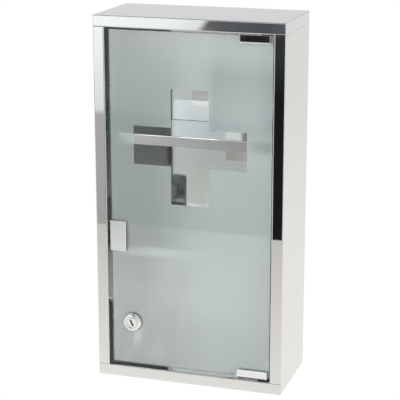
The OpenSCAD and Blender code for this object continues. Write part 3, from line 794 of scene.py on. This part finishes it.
card("floor", [
    (-FLOOR_FAR, FLOOR_FRONT_LEFT, 0), (FLOOR_FAR, FLOOR_FRONT_RIGHT, 0),
    (FLOOR_FAR, FLOOR_FAR, 0), (-FLOOR_FAR, FLOOR_FAR, 0)], emitting("floor_white", floor_light))


def front_card(tree, aside, slope):
    """What the polished front mirrors: a soft card to the left with a slanted end, and the dark beside it.

    The front's left stile mirrors what lies at an aside of about -0.4 and its right stile at -0.26. Its top
    board mirrors what lies at a slope of -0.15, and its lower parts mirror lower slopes.
    """
    # The card ends further left towards the top board, and stands upright below it
    on_board = tree.span(slope, -0.1553, -0.1548)
    slanted = -0.3175 + 0.83 * (tree.span(slope, -0.5, -0.05, -0.5, -0.05) + 0.1513)
    upright = -0.3085 + 0.12 * (slope + 0.18)
    edge = on_board * slanted + (1 - on_board) * upright
    card_end = tree.span(aside - edge, -0.003, 0.003)

    # The card is brighter above its middle and at its far left, and ends above the cabinet
    level = tree.span(slope, -0.223, -0.218, 0, 0.45) + tree.span(slope, -0.218, -0.145, 0, 0.32)
    level = level + tree.span(slope, -0.29, -0.23, 0.30, 0.34)
    level = level + tree.span(aside, -0.40, -0.32, 0.19, 0.06) - tree.span(aside, -0.345, -0.318, 0, 0.12)
    level = level * tree.span(slope, 0.5, 0.65, 1, 0.05)

    # The dark beside it: a faint glow on the right stile, a dim patch on the top board, a grey stretch
    # towards the floor, a band a little above the horizon, and a card at the right
    dark = 0.014 + tree.span(slope, -0.20, -0.175, 0, 0.028) * tree.span(aside, -0.266, -0.262)
    patch = on_board * tree.span(aside, -0.31, -0.26, 0.13, 0.09)
    dark = dark + patch * tree.span(slope, -0.05, 0.2, 1, 0.3)
    dark = dark + tree.span(slope, -0.1, 0.05, 0.34, 0) * tree.span(aside, -0.2, -0.05)
    dark = dark + tree.span(slope, 0.04, 0.08, 0, 0.45) * tree.span(slope, 0.17, 0.21, 1, 0)
    right_card = tree.span(aside, 0.19, 0.23) * tree.span(slope, -0.04, 0.02)
    dark = dark * (1 - right_card) + 0.85 * right_card
    level = level * (1 - card_end) + dark * card_end

    # One more card far to the left
    left_card = tree.span(aside, -0.95, -0.75, 1, 0) * tree.span(slope, 0.15, 0.25)
    return level * (1 - left_card) + 0.78 * left_card


def metal_sees(tree, aside, slope, rise, ahead):
    """What polished metal mirrors: the cards in front, and an open white room round them."""
    right_edge = tree.span(aside, 0.62, 0.70)
    top_edge = tree.span(slope, 2.7, 3.1)
    facing = tree.span(ahead, 0.05, 0.3)
    open_share = 1 - (1 - right_edge) * (1 - top_edge) * facing
    open_level = tree.span(rise, 0, 0.2, 0.9, 0.71)
    return front_card(tree, aside, slope) * (1 - open_share) + open_level * open_share


def inside_sees(tree, aside, slope):
    """What the polished inside mirrors out through the door's glass, above the horizon and below it."""
    right_share = tree.span(aside, -0.28, -0.22)
    right_level = tree.span(slope, -0.29, -0.27, 0.02, 0.14) * right_share

    # Above it: two levels over the shelf, and lower down a bright part to the left of a dark one
    high = tree.span(slope, 0.22, 0.24)
    over_shelf = tree.span(slope, 0.2858, 0.2866, 1.52, 1.13)
    beside_column = tree.span(aside, -0.3455, -0.3435, 1.2, 0.26)
    upper_level = over_shelf * high + beside_column * (1 - high)
    upper_level = upper_level * (1 - right_share) + right_level

    # Below it: fading to the right, with a level of its own where the slope is steep
    direct = tree.span(aside, -0.375, -0.27, 0.62, 0.40) * (1 - right_share) + right_level
    mirrored = tree.span(slope, -0.31, -0.30, 0.48, 0.58)
    far_share = tree.span(aside, -0.36, -0.35)
    mirrored = mirrored * (1 - far_share) + direct * far_share
    from_front = tree.span(slope, -0.257, -0.252)
    lower_level = direct * from_front + mirrored * (1 - from_front)

    # A strong light far to the left, and each part's change with how often the ray crosses the film
    upper = tree.span(slope, -0.03, 0.03)
    flood = tree.span(aside, -0.48, -0.44, 1, 0) * tree.span(slope, -0.3, 0.3, 2.3, 4.2)
    once = through_glass(tree, FILM_ONCE)
    twice = through_glass(tree, FILM_TWICE)
    upper_level = upper * upper_level * (1 + once * 0.45 - twice * 1.15)
    lower_level = (1 - upper) * lower_level * (1 + once * 0.6 - twice)
    return upper_level + lower_level + flood * (1 - twice * 0.1)


def studio_level(tree):
    """Light by direction. Aside and slope are its steps to the right and up for each step to the front."""
    across, along, rise = (tree.axis(name, "Generated") for name in "XYZ")
    ahead = tree.node("ShaderNodeMath", {"operation": "MAXIMUM"}, {0: 0 - along, 1: 0.02})
    aside = across / ahead
    slope = rise / ahead
    through = through_glass(tree)
    metal_level = metal_sees(tree, aside, slope, rise, ahead)
    return metal_level * (1 - through) + inside_sees(tree, aside, slope) * through


def studio_colour(tree):
    """Cool light, warmer from low down, and cooler on the metal from the low middle."""
    across = tree.axis("X", "Generated")
    rise = tree.axis("Z", "Generated")
    tint = tree.mix(tree.span(rise, -0.3, -0.15), (1.0, 0.985, 0.94), (0.985, 1.0, 1.015))
    middle = tree.span(across, -0.30, -0.28) * tree.span(across, 0.3, 0.5, 1, 0)
    middle = middle * tree.span(rise, 0, 0.1, 1, 0)
    tint = tree.mix(middle * (1 - through_glass(tree)), tint, (0.92, 0.985, 1.06))
    return tree.mix(light_path(tree, "Is Camera Ray"), tint, WHITE)


world = bpy.data.worlds.new("studio")
scene.world = world
tree = Tree(world)
seen = light_path(tree, "Is Camera Ray")
soft = after_diffuse(tree)
level = studio_level(tree) * (1 - seen - soft) + seen + room_level(through_glass(tree)) * soft
shade = tree.node("ShaderNodeBackground", None, {"Color": studio_colour(tree), "Strength": level})
tree.node_end("ShaderNodeOutputWorld", {"Surface": shade})
world.cycles.sampling_method = "NONE"


def soft_light(name, place, aim, size, power):
    """A square soft light that is seen neither straight nor in a mirror."""
    made = bpy.data.objects.new(name, bpy.data.lights.new(name, "AREA"))
    scene.collection.objects.link(made)
    made.data.size = size
    made.data.energy = power
    made.location = place
    made.rotation_euler = (Vector(place) - Vector(aim)).to_track_quat("Z", "Y").to_euler()
    made.visible_camera = False
    made.visible_glossy = False


soft_light("overhead", (0.2, -1.3, 1.9), aim=(0, 0, 0.25), size=1.2, power=8)


# ---------- Camera ----------

VIEW_AZIMUTH = math.radians(17.7)
VIEW_ELEVATION = math.radians(15.2)
VIEW_DISTANCE = 1.85
LENS_MM = 127.3
SENSOR_MM = 36
AIM = Vector((-0.0028, 0, 0.2345))

camera = bpy.data.objects.new("camera", bpy.data.cameras.new("camera"))
scene.collection.objects.link(camera)
camera.data.lens = LENS_MM
camera.data.sensor_width = SENSOR_MM
towards = Vector((
    math.sin(VIEW_AZIMUTH) * math.cos(VIEW_ELEVATION),
    -math.cos(VIEW_AZIMUTH) * math.cos(VIEW_ELEVATION),
    math.sin(VIEW_ELEVATION)))
camera.location = AIM + towards * VIEW_DISTANCE
camera.rotation_euler = towards.to_track_quat("Z", "Y").to_euler()
camera.data.clip_start = 0.05
scene.camera = camera

scene.view_settings.view_transform = "Standard"
scene.cycles.glossy_bounces = 16
scene.cycles.transmission_bounces = 16
scene.cycles.max_bounces = 24
